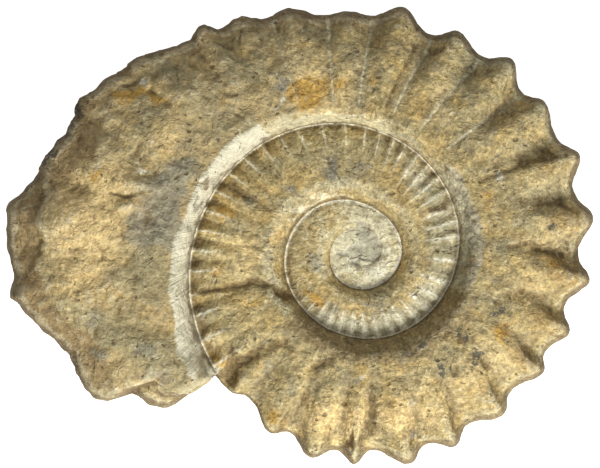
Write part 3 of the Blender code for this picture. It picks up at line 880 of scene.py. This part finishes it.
def paintMasks(data, spots):
    owners = cornerPoints(data)
    angle, share, side = [readCorners(data, name) for name in ("coilAngle", "coilAcross", "coilSide")]
    x, y, z = spots[owners].T
    theta = np.mod(angle, fullTurn)
    outer = (angle > coil["freeStart"] - 0.01).astype(float)
    second = (1.0 - outer) * (angle > coil["freeStart"] - fullTurn - 0.01)
    level = np.clip(1.0 - side * 2.0, 0.0, 1.0)
    wobble = roughness(spots, paint["wobbleSize"], 2, 11)[owners]
    chamber = easeBetween(*chamberSpan, angle) * outer
    disc = 1.0 - easeBetween(*paint["disc"], angle)
    masks = {"chamber": chamber, "across": share, "ribPhase": leanedPhase(angle, share), "disc": disc * level}
    masks["ribbed"] = outer * (1.0 - chamber) * easeBetween(*paint["ribbed"], share) * level

    # the sloping wall between the turns
    acrossWall = share / wallShare(angle)
    onWall, belowWall, topPale, rightPale = [
        1.0 - easeBetween(*paint[name][0], acrossWall + paint[name][1] * wobble)
        for name in ("onWall", "belowWall", "topPale", "rightPale")
    ]
    bandEnd = easeBetween(*paint["bandEnd"], theta + paint["jagged"] * wobble)
    leftSide = bandEnd * (1.0 - easeBetween(*paint["bandStart"], theta))
    topSide = easeBetween(*paint["topStart"], theta) * (1.0 - bandEnd)
    rightSide = around(theta, *paint["rightWall"])
    bottomSide = within(theta, *paint["bottomWall"])
    masks["chiselled"] = outer * onWall * leftSide * level
    masks["chiselAngle"] = angle - paint["chiselLean"] * acrossWall
    paleSides = topPale * topSide + paint["rightPaleMost"] * rightPale * rightSide
    masks["paleWall"] = outer * paleSides * level
    masks["greyWall"] = outer * onWall * rightSide * level
    # the wall on the lower side is brown, partly its own colour and partly painted shade, as it faces away
    # from the light
    masks["brownWall"] = outer * belowWall * bottomSide * level

    # the whitened inner turns and the seams between them
    rightOfSecond = around(theta, *paint["rightOfSecond"])
    fade = atLeast(paint["innerLeast"], 1.0 - easeBetween(*paint["innerFade"], angle))
    rings = (1.0 - np.maximum(outer, second)) * fade * (paint["ringCream"] + paint["discCream"] * disc)
    half, uneven = paint["outerHalf"]
    outerHalf = easeBetween(*half, share + uneven * wobble) * rightOfSecond
    whitened = second * (paint["secondCream"] + paint["bottomCream"] * bottomSide) * outerHalf
    masks["cream"] = np.clip(rings + whitened, 0.0, 1.0) * level
    begins, earlier, full = paint["innerLines"]
    masks["innerTurn"] = second * level * easeBetween(0.0, full, share - begins + earlier * rightOfSecond)
    reach = np.hypot(x, y)
    rimWidth = paint["rim"] + paint["rimExtra"] * within(angle, *paint["rimWide"])
    fromSeam = np.abs(edgeLine(angle) - reach)
    masks["seamLine"] = (1.0 - outer) * np.exp(-((fromSeam / rimWidth) ** 2)) * level
    inValleys = within(theta, *paint["valleys"]) * easeBetween(*paint["valleyShares"], share)
    masks["valleyLine"] = outer * inValleys
    masks["pocket"] = easeBetween(*paint["pocketEdge"], insideOutline(x, y, wear["pocket"]))
    masks["pocket"] *= z > whorl["restHeight"]

    # the outer edge: painted shade on its upper and left slopes and on its steep sides, brown on the rib tips
    slope = np.zeros(len(x))
    for angles, depths, uneven in paint["slopes"]:
        fromEdge = freeEdge(angle) - reach + uneven * wobble
        slope += within(angle, *angles) * (1.0 - easeBetween(*depths, fromEdge))
    above = z > whorl["restHeight"] - paint["slopeDepth"]
    masks["brownSlope"] = np.clip(slope, 0.0, 1.0) * outer * above
    tips = ribWave(masks["ribPhase"], paint["tipSharpness"]) * easeBetween(*paint["tips"], share) * outer
    masks["tips"] = tips * around(theta, *paint["rightTips"]) * (1.0 - chamber)
    # painted shade on the steep sides of the outer turn
    upward = readNormals(data)[owners, 2]
    steep = 1.0 - easeBetween(*paint["steep"], np.abs(upward))
    masks["steep"] = steep * outer * (share > paint["steepShadeShare"])

    # grooves, steps, stains and the painted edge shadow, swayed so that they don't end evenly
    swayX, swayY = [paint["sway"] * roughness(spots, paint["swaySize"], 3, seed)[owners] for seed in (12, 13)]
    lineX, lineY = x + paint["lineSway"] * swayX, y + paint["lineSway"] * swayY
    grooved = np.zeros(len(x))
    for width, depth, *points in wear["grooves"]:
        away = toLine(lineX, lineY, points)[0] / (paint["grooveWidth"] * width)
        shade = min(paint["grooveMost"], paint["grooveShade"] * depth)
        grooved = np.maximum(grooved, shade * np.exp(-(away ** 2)))
    for first, last, drop, _, *points in wear["ledges"]:
        away = toLine(lineX, lineY, points)[0] / paint["ledgeWidth"]
        onLedge = np.exp(-(away ** 2)) * (angle > first) * (angle < last)
        grooved = np.maximum(grooved, paint["ledgeShade"] * drop * onLedge)
    masks["grooved"] = grooved * level
    for name, patches in stainsAndEdgeShadow.items():
        patchWeight = sum(patch[-1] * blob(x + swayX, y + swayY, *patch[:-1]) for patch in patches)
        foot = paint["feet"].get(name, paint["foot"])
        masks[name] = np.clip(patchWeight, 0.0, 1.5) * easeBetween(foot, foot + paint["footFade"], z)
    for name in ("hollow", "broadHollow"):
        masks[name] = hollowness(data, spots, *paint[name])[owners]
    for name, values in masks.items():
        writeCorners(data, name, values)
    print("painted", len(masks), "masks")
    return list(masks)


# The stone: colours, sizes of grain in millimetres and the layers laid over one another
limestone = {
    "colours": {
        "tan": (0.42, 0.315, 0.13, 1.0),
        "paleTan": (0.56, 0.44, 0.205, 1.0),
        "warmTan": (0.76, 0.56, 0.25, 1.0),
        "chamberTan": (0.50, 0.385, 0.19, 1.0),
        # umber is also the painted shade in hollows, creases and grooves
        "umber": (0.17, 0.115, 0.045, 1.0),
        "ochre": (0.52, 0.305, 0.06, 1.0),
        "olive": (0.31, 0.27, 0.145, 1.0),
        # brown is partly painted shade, on the wall of the lower side
        "brown": (0.25, 0.185, 0.085, 1.0),
        "tipBrown": (0.37, 0.24, 0.085, 1.0),
        # painted shade: this brown darkens the outer slopes that face away from the light
        "slopeBrown": (0.29, 0.2, 0.09, 1.0),
        # painted shade: this dark brown darkens steep sides
        "edgeBrown": (0.15, 0.10, 0.045, 1.0),
        "cream": (0.66, 0.615, 0.41, 1.0),
        "chalk": (0.81, 0.77, 0.58, 1.0),
        "grey": (0.27, 0.24, 0.15, 1.0),
        "wallGrey": (0.35, 0.32, 0.225, 1.0),
        "pocketGrey": (0.42, 0.395, 0.285, 1.0),
        "blueGrey": (0.27, 0.25, 0.175, 1.0),
        "slate": (0.20, 0.19, 0.15, 1.0),
        # ink and black also serve the painted shadow along the chamber's left edge
        "ink": (0.06, 0.06, 0.05, 1.0),
        "black": (0.035, 0.03, 0.022, 1.0),
    },
    # size, detail, roughness and distortion of each noise
    "noises": {
        "cloud": (45.0, 3.0, 0.55, 0.0),
        "calm": (28.0, 2.0, 0.55, 0.0),
        "turned": (16.0, 2.0, 0.55, 0.0),
        "mottle": (14.0, 4.0, 0.7, 0.4),
        "grain": (5.0, 4.0, 0.75, 0.3),
        "speck": (3.2, 3.0, 0.6, 1.0),
        "fine": (2.2, 3.0, 0.7, 0.0),
    },
    # the same, on places that wander by this size and reach
    "wander": (9.0, 5.0),
    "wanderingNoises": {
        "olivePlaces": (30.0, 4.0, 0.6, 0.0),
        "pittedPlaces": (14.0, 2.0, 0.55, 0.0),
        "plates": (12.0, 3.0, 0.6, 0.0),
        "crackedPlaces": (11.0, 2.0, 0.55, 0.0),
        "crag": (9.0, 3.0, 0.5, 0.0),
    },
    # rasped lines in two directions: grain along each axis, turn
    "rasp": (((4.5, 1.5, 3.0), 12.0), ((4.5, 1.4, 3.0), 108.0)),
    # scale along the coil, scale across it, detail
    "striae": (9.0, 3.0, 4.0),
    "chisel": (2.2, 3.0, 2.0),
    "cracks": ("DISTANCE_TO_EDGE", 15.0, 0.0, 0.035),
    "pits": ("F1", 6.0, 0.12, 0.24),
    "ragged": {"grain": 0.6, "mottle": 0.4},
    # where some of the noises start and are full, and the values there
    "cloudWhere": (0.35, 0.65),
    "turnedWhere": (0.42, 0.58),
    "crackedWhere": (0.54, 0.66),
    "pittedWhere": (0.5, 0.58),
    "calmWhere": (0.38, 0.62, 0.5, 1.3),
    "patchyWhere": (0.3, 0.5, 0.35, 1.0),
    "roughOnChamber": 0.7,
    # painted shade in hollows and creases and along grooves and ledges: how strong it stays on the disc, and
    # the weight of each mark
    "hollowShadeOnDisc": 0.5,
    "deep": {"hollow": -0.6, "broadHollow": -0.45, "grooved": 0.5},
    "inkSpots": {"speck": 3.0, "grain": 4.0},
    "furrowWave": -0.6,
    "teeth": 1.4,
    "shellStriae": 1.6,
    "chamberCover": 0.7,
    "crackCover": 0.4,
    "pitCover": 0.65,
    # the mark that places a layer, how unevenly it ends, where it starts and is full, its colour,
    # how much it covers, and marks that it is kept to
    "layers": (
        ("olivePlaces", 0.0, 0.48, 0.62, "olive", 0.6),
        ("plates", 0.0, 0.52, 0.56, "grey", 0.2),
        ("plates", 0.0, 0.44, 0.41, "paleTan", 0.25),
        ("mottle", 0.0, 0.5, 0.7, "grey", 0.4),
        ("mottle", 0.0, 0.5, 0.32, "ochre", 0.28),
        ("warm", 1.0, 0.1, 0.9, "warmTan", 0.8),
        ("cream", 2.5, 0.2, 0.9, "cream", 0.85),
        # wall on the lower side: partly its own colour, partly painted shade
        ("brownWallTeeth", 1.0, 0.3, 0.7, "brown", 0.85),
        ("greyWallTeeth", 1.0, 0.3, 0.7, "wallGrey", 0.8),
        ("paleWallTeeth", 1.0, 0.3, 0.7, "cream", 0.55),
        ("chiselledTeeth", 1.0, 0.3, 0.7, "chalk", 0.85),
        # painted shade on the outer slopes that face away from the light
        ("brownSlope", 1.0, 0.2, 0.9, "slopeBrown", 0.8),
        ("tips", 1.0, 0.2, 0.9, "tipBrown", 0.6),
        ("shade", 2.0, 0.25, 0.85, "olive", 0.7),
        ("slate", 1.2, 0.25, 0.85, "slate", 0.8),
        ("ochre", 1.2, 0.25, 0.85, "ochre", 0.85),
        ("grey", 2.0, 0.25, 0.85, "blueGrey", 0.8),
        ("white", 2.0, 0.25, 0.85, "chalk", 0.9),
        ("wave", 0.35, 0.86, 1.0, "chalk", 0.65, "innerTurn"),
        ("shell", 1.5, 0.9, 1.7, "chalk", 0.65, "innerTurn", "cream"),
        ("shell", 1.5, 0.5, -0.4, "blueGrey", 0.8, "innerTurn", "cream"),
        ("furrows", 2.2, 0.0, 0.9, "grey", 0.5, "ribbed"),
        ("wave", 0.0, -0.75, -0.98, "grey", 0.3, "disc"),
        ("wave", 0.06, -0.965, -0.995, "cream", 0.6, "valleyLine", "patchy"),
        ("seamLine", 1.2, 0.35, 0.8, "chalk", 0.8),
        ("pocket", 1.0, 0.3, 0.7, "pocketGrey", 0.85),
        # painted shade in hollows and creases and along grooves and ledges
        ("deep", 1.0, 0.05, 0.75, "umber", 0.8),
        ("hollow", 1.0, 0.15, 0.9, "cream", 0.35),
        # painted shade on steep sides
        ("steep", 2.0, 0.1, 0.8, "edgeBrown", 0.75),
        # dark and ink layers: stains, and the painted shadow along the chamber's left edge
        ("dark", 2.0, 0.2, 0.7, "umber", 0.8),
        ("inkSpots", 3.0, 0.9, 1.3, "ink", 0.8),
        ("dark", 2.0, 0.9, 1.5, "black", 0.9),
        ("speck", 0.0, 0.6, 0.72, "umber", 0.5),
        ("speck", 0.0, 0.4, 0.28, "cream", 0.5),
    ),
    # grains that darken and lighten the colour: from and to, darkest, lightest
    "tones": (
        ("grain", 0.28, 0.72, 0.7, 1.32),
        ("fine", 0.3, 0.7, 0.74, 1.26),
        ("striae", 0.3, 0.7, 0.9, 1.1),
        ("rasp", 0.3, 0.7, 0.82, 1.2),
    ),
    # how strongly the tones show anywhere, and what tan stone and the chamber add
    "toneSwing": (0.6, 0.4, -0.3),
    # height of each grain in the bump, and marks that it is kept to
    "heights": (
        ("grain", 0.8, "rough"),
        ("fine", 0.5),
        ("speck", -0.5),
        ("striae", 0.2),
        ("rasp", 0.6, "rough"),
        ("crag", 3.0),
        ("crack", -0.4),
        ("pit", -0.8),
        ("chiselCut", 0.9, "chiselled"),
    ),
    "bumpStrength": 0.8,
    "bumpDistance": 0.0014,
    "roughness": (0.3, 0.7, 0.75, 0.95),
    "specular": 0.3,
}


def addNode(tree, kind, **inputs):
    node = tree.nodes.new(kind)
    for name, value in inputs.items():
        if hasattr(node, name):
            setattr(node, name, value)
        else:
            node.inputs[name].default_value = value
    return node


def feed(tree, output, target):
    if hasattr(output, "is_output"):
        tree.links.new(output, target)
    else:
        target.default_value = output


def reckon(tree, operation, first, second=0.0, clamp=False):
    node = addNode(tree, "ShaderNodeMath", operation=operation, use_clamp=clamp)
    feed(tree, first, node.inputs[0])
    feed(tree, second, node.inputs[1])
    return node.outputs[0]


def product(tree, *values):
    result = values[0]
    for value in values[1:]:
        result = reckon(tree, "MULTIPLY", result, value)
    return result


def total(tree, *values):
    result = values[0]
    for value in values[1:]:
        result = reckon(tree, "ADD", result, value)
    return result


def centred(tree, value):
    return reckon(tree, "SUBTRACT", value, 0.5)


def inverse(tree, value):
    return reckon(tree, "SUBTRACT", 1.0, value)


def ramp(tree, value, low, high, toLow=0.0, toHigh=1.0):
    node = addNode(tree, "ShaderNodeMapRange", interpolation_type="SMOOTHSTEP")
    feed(tree, value, node.inputs["Value"])
    for name, number in (("From Min", low), ("From Max", high), ("To Min", toLow), ("To Max", toHigh)):
        node.inputs[name].default_value = number
    return node.outputs["Result"]


def mixColour(tree, factor, first, second, blend="MIX"):
    node = addNode(tree, "ShaderNodeMix", data_type="RGBA", blend_type=blend)
    for index, value in ((0, factor), (6, first), (7, second)):
        feed(tree, value, node.inputs[index])
    return node.outputs[2]


def noiseAt(tree, place, size, detail, roughness, distortion):
    # noise whose largest grains are about this many millimetres across
    node = addNode(tree, "ShaderNodeTexNoise", Detail=detail, Roughness=roughness, Distortion=distortion,
                   Scale=1.0 / (size * millimetre))
    feed(tree, place, node.inputs["Vector"])
    return node.outputs["Fac"]


def stretchedNoise(tree, along, across, scale, stretch, detail):
    # noise drawn out across the coil
    place = addNode(tree, "ShaderNodeCombineXYZ")
    feed(tree, product(tree, along, scale), place.inputs[0])
    feed(tree, product(tree, across, stretch), place.inputs[1])
    node = addNode(tree, "ShaderNodeTexNoise", Detail=detail, Roughness=0.6, Scale=1.0)
    feed(tree, place.outputs[0], node.inputs["Vector"])
    return node.outputs["Fac"]


def wanderingPlace(tree, place, size, reach):
    # the place pushed about by noise, so that patterns laid on it wander
    node = addNode(tree, "ShaderNodeTexNoise", Detail=2.0, Scale=1.0 / (size * millimetre))
    feed(tree, place, node.inputs["Vector"])
    middle = addNode(tree, "ShaderNodeVectorMath", operation="SUBTRACT")
    feed(tree, node.outputs["Color"], middle.inputs[0])
    middle.inputs[1].default_value = (0.5, 0.5, 0.5)
    scaled = addNode(tree, "ShaderNodeVectorMath", operation="SCALE")
    feed(tree, middle.outputs[0], scaled.inputs[0])
    scaled.inputs["Scale"].default_value = reach * millimetre
    moved = addNode(tree, "ShaderNodeVectorMath", operation="ADD")
    feed(tree, place, moved.inputs[0])
    feed(tree, scaled.outputs[0], moved.inputs[1])
    return moved.outputs[0]


def directedNoise(tree, place, sizes, turn):
    # noise with its own grain size along each axis, turned in plan
    lay = addNode(tree, "ShaderNodeMapping", vector_type="POINT")
    feed(tree, place, lay.inputs["Vector"])
    lay.inputs["Rotation"].default_value = (0.0, 0.0, math.radians(turn))
    stretch = addNode(tree, "ShaderNodeMapping", vector_type="POINT")
    feed(tree, lay.outputs[0], stretch.inputs["Vector"])
    stretch.inputs["Scale"].default_value = [1.0 / (size * millimetre) for size in sizes]
    node = addNode(tree, "ShaderNodeTexNoise", Detail=3.0, Roughness=0.6, Scale=1.0)
    feed(tree, stretch.outputs[0], node.inputs["Vector"])
    return node.outputs["Fac"]


def cellMarks(tree, place, feature, size, near, far):
    # 1 at the edges or middles of the cells, 0 away from them
    cells = addNode(tree, "ShaderNodeTexVoronoi", feature=feature, Scale=1.0 / (size * millimetre))
    feed(tree, place, cells.inputs["Vector"])
    return ramp(tree, cells.outputs["Distance"], near, far, 1.0, 0.0)


def stoneMarks(tree, maskNames):
    # every field that places a colour or a height: painted masks, noises, and mixtures of them
    place = addNode(tree, "ShaderNodeTexCoord").outputs["Object"]
    wandering = wanderingPlace(tree, place, *limestone["wander"])
    marks = {}
    for name in maskNames:
        marks[name] = addNode(tree, "ShaderNodeAttribute", attribute_name=name).outputs["Fac"]
    for name, grain in limestone["noises"].items():
        marks[name] = noiseAt(tree, place, *grain)
    for name, grain in limestone["wanderingNoises"].items():
        marks[name] = noiseAt(tree, wandering, *grain)
    ragged = [product(tree, marks[name], most) for name, most in limestone["ragged"].items()]
    marks["ragged"] = centred(tree, total(tree, *ragged))

    turned = ramp(tree, marks["turned"], *limestone["turnedWhere"])
    lengthwise, crosswise = [directedNoise(tree, wandering, *lines) for lines in limestone["rasp"]]
    rasp = total(tree, product(tree, lengthwise, turned), product(tree, crosswise, inverse(tree, turned)))
    rasp = product(tree, centred(tree, rasp), inverse(tree, marks["chiselled"]))
    marks["rasp"] = total(tree, rasp, 0.5)
    marks["crack"] = product(tree, cellMarks(tree, wandering, *limestone["cracks"]),
                             ramp(tree, marks["crackedPlaces"], *limestone["crackedWhere"]))
    marks["pit"] = product(tree, cellMarks(tree, wandering, *limestone["pits"]),
                           ramp(tree, marks["pittedPlaces"], *limestone["pittedWhere"]))
    marks["crag"] = reckon(tree, "ABSOLUTE", centred(tree, marks["crag"]))
    marks["rough"] = product(tree, ramp(tree, marks["calm"], *limestone["calmWhere"]),
                             ramp(tree, marks["chamber"], 0.0, 1.0, 1.0, limestone["roughOnChamber"]))

    marks["striae"] = stretchedNoise(tree, marks["ribPhase"], marks["across"], *limestone["striae"])
    chisel = stretchedNoise(tree, marks["chiselAngle"], marks["across"], *limestone["chisel"])
    marks["chiselCut"] = centred(tree, chisel)
    teeth = product(tree, marks["chiselCut"], limestone["teeth"])
    for name in ("brownWall", "greyWall", "paleWall", "chiselled"):
        marks[name + "Teeth"] = total(tree, marks[name], teeth)

    marks["wave"] = reckon(tree, "COSINE", product(tree, marks["ribPhase"], 2.0 * math.pi))
    marks["shell"] = total(tree, marks["wave"], product(tree, marks["striae"], limestone["shellStriae"]))
    marks["furrows"] = product(tree, marks["wave"], limestone["furrowWave"])
    marks["patchy"] = ramp(tree, marks["mottle"], *limestone["patchyWhere"])
    spots = [product(tree, centred(tree, marks[name]), most) for name, most in limestone["inkSpots"].items()]
    marks["inkSpots"] = total(tree, marks["ink"], *spots)
    # painted shade in hollows and creases and along grooves and ledges, kept off the seam line and weaker on
    # the disc
    hollowShadeParts = [product(tree, marks[name], most) for name, most in limestone["deep"].items()]
    marks["deep"] = product(tree, total(tree, *hollowShadeParts), inverse(tree, marks["seamLine"]),
                            ramp(tree, marks["disc"], 0.0, 1.0, 1.0, limestone["hollowShadeOnDisc"]))
    marks["onTan"] = inverse(tree, reckon(tree, "ADD", marks["cream"], marks["chiselled"], True))
    return marks


def limestoneMaterial(maskNames):
    material = bpy.data.materials.new("limestone")
    material.use_nodes = True
    tree = material.node_tree
    shader = tree.nodes["Principled BSDF"]
    marks = stoneMarks(tree, maskNames)
    colours = limestone["colours"]

    colour = mixColour(tree, ramp(tree, marks["cloud"], *limestone["cloudWhere"]), colours["tan"],
                       colours["paleTan"])
    cover = product(tree, marks["chamber"], limestone["chamberCover"])
    colour = mixColour(tree, cover, colour, colours["chamberTan"])
    for name, uneven, low, high, shade, most, *places in limestone["layers"]:
        field = marks[name]
        if uneven:
            field = total(tree, field, product(tree, marks["ragged"], uneven))
        cover = ramp(tree, field, low, high, 0.0, most)
        cover = product(tree, cover, *(marks[place] for place in places))
        colour = mixColour(tree, cover, colour, colours[shade])
    cover = product(tree, marks["crack"], limestone["crackCover"])
    colour = mixColour(tree, cover, colour, colours["umber"])
    cover = product(tree, marks["pit"], marks["onTan"], limestone["pitCover"])
    colour = mixColour(tree, cover, colour, colours["umber"])

    tones = product(tree, *(ramp(tree, marks[name], *span) for name, *span in limestone["tones"]))
    anywhere, onTan, onChamber = limestone["toneSwing"]
    swing = total(tree, product(tree, marks["onTan"], onTan), product(tree, marks["chamber"], onChamber),
                  anywhere)
    tones = total(tree, product(tree, reckon(tree, "SUBTRACT", tones, 1.0), swing), 1.0)
    tone = addNode(tree, "ShaderNodeCombineColor")
    for socket in tone.inputs:
        feed(tree, tones, socket)
    colour = mixColour(tree, 1.0, colour, tone.outputs[0], "MULTIPLY")
    feed(tree, colour, shader.inputs["Base Color"])

    heights = [product(tree, marks[name], height, *(marks[place] for place in places))
               for name, height, *places in limestone["heights"]]
    bump = addNode(tree, "ShaderNodeBump", Strength=limestone["bumpStrength"],
                   Distance=limestone["bumpDistance"])
    feed(tree, total(tree, *heights), bump.inputs["Height"])
    feed(tree, bump.outputs["Normal"], shader.inputs["Normal"])
    feed(tree, ramp(tree, marks["grain"], *limestone["roughness"]), shader.inputs["Roughness"])
    shader.inputs["Specular IOR Level"].default_value = limestone["specular"]
    return material


def buildFossil():
    mesh = buildCoil()
    data = bpy.data.meshes.new("fossil_skin")
    mesh.to_mesh(data)
    mesh.free()
    spots = carve(data)
    data.vertices.foreach_set("co", (fitInBox(spots) * millimetre).ravel())
    data.update()
    maskNames = paintMasks(data, spots)
    for polygon in data.polygons:
        polygon.use_smooth = True
    data.materials.append(limestoneMaterial(maskNames))
    skin = bpy.data.objects.new("fossil_skin", data)
    bpy.context.scene.collection.objects.link(skin)
    triangles = sum(len(polygon.vertices) - 2 for polygon in data.polygons)
    print("fossil skin", triangles, "triangles")
    return skin


fossilSkin = buildFossil()
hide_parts("ammonite")
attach(fossilSkin, "root")

# Floor, light and camera
studio = {
    "floorHalf": 2.5,
    "floorColour": (0.9, 0.9, 0.9, 1.0),
    "keyDirection": (0.3, -0.86, 0.62),
    "keyDistance": 1.6,
    "keySize": 0.5,
    "keyPower": 29.4,
    "worldColour": (1.0, 1.0, 1.0, 1.0),
    "worldStrength": 0.42,
    "cameraHeight": 1.5,
    "frameWidth": 0.369,
    "frameShift": (-0.0003, 0.0012),
    "planeHeight": 0.035,
    "sensorWidth": 36.0,
}


def layFloor():
    mesh = bmesh.new()
    bmesh.ops.create_grid(mesh, x_segments=1, y_segments=1, size=studio["floorHalf"])
    data = bpy.data.meshes.new("floor")
    mesh.to_mesh(data)
    mesh.free()
    floor = bpy.data.objects.new("floor", data)
    bpy.context.scene.collection.objects.link(floor)
    material = bpy.data.materials.new("floor_white")
    material.use_nodes = True
    shader = material.node_tree.nodes["Principled BSDF"]
    shader.inputs["Base Color"].default_value = studio["floorColour"]
    shader.inputs["Roughness"].default_value = 1.0
    shader.inputs["Emission Color"].default_value = studio["floorColour"]
    rays = material.node_tree.nodes.new("ShaderNodeLightPath")
    material.node_tree.links.new(rays.outputs["Is Camera Ray"], shader.inputs["Emission Strength"])
    data.materials.append(material)


def hangLight():
    direction = Vector(studio["keyDirection"]).normalized()
    light = bpy.data.lights.new("key", "AREA")
    light.shape = "DISK"
    light.size = studio["keySize"]
    light.energy = studio["keyPower"]
    lamp = bpy.data.objects.new("key", light)
    lamp.location = direction * studio["keyDistance"]
    lamp.rotation_euler = direction.to_track_quat("Z", "Y").to_euler()
    bpy.context.scene.collection.objects.link(lamp)
    world = bpy.data.worlds.new("studio")
    world.use_nodes = True
    background = world.node_tree.nodes["Background"]
    background.inputs["Color"].default_value = studio["worldColour"]
    background.inputs["Strength"].default_value = studio["worldStrength"]
    bpy.context.scene.world = world


def placeCamera():
    camera = bpy.data.cameras.new("camera")
    camera.sensor_width = studio["sensorWidth"]
    reach = studio["cameraHeight"] - studio["planeHeight"]
    camera.lens = studio["sensorWidth"] * reach / studio["frameWidth"]
    holder = bpy.data.objects.new("camera", camera)
    shiftX, shiftY = studio["frameShift"]
    holder.location = (shiftX, shiftY, studio["cameraHeight"])
    bpy.context.scene.collection.objects.link(holder)
    bpy.context.scene.camera = holder


layFloor()
hangLight()
placeCamera()
bpy.context.scene.view_settings.view_transform = "Standard"
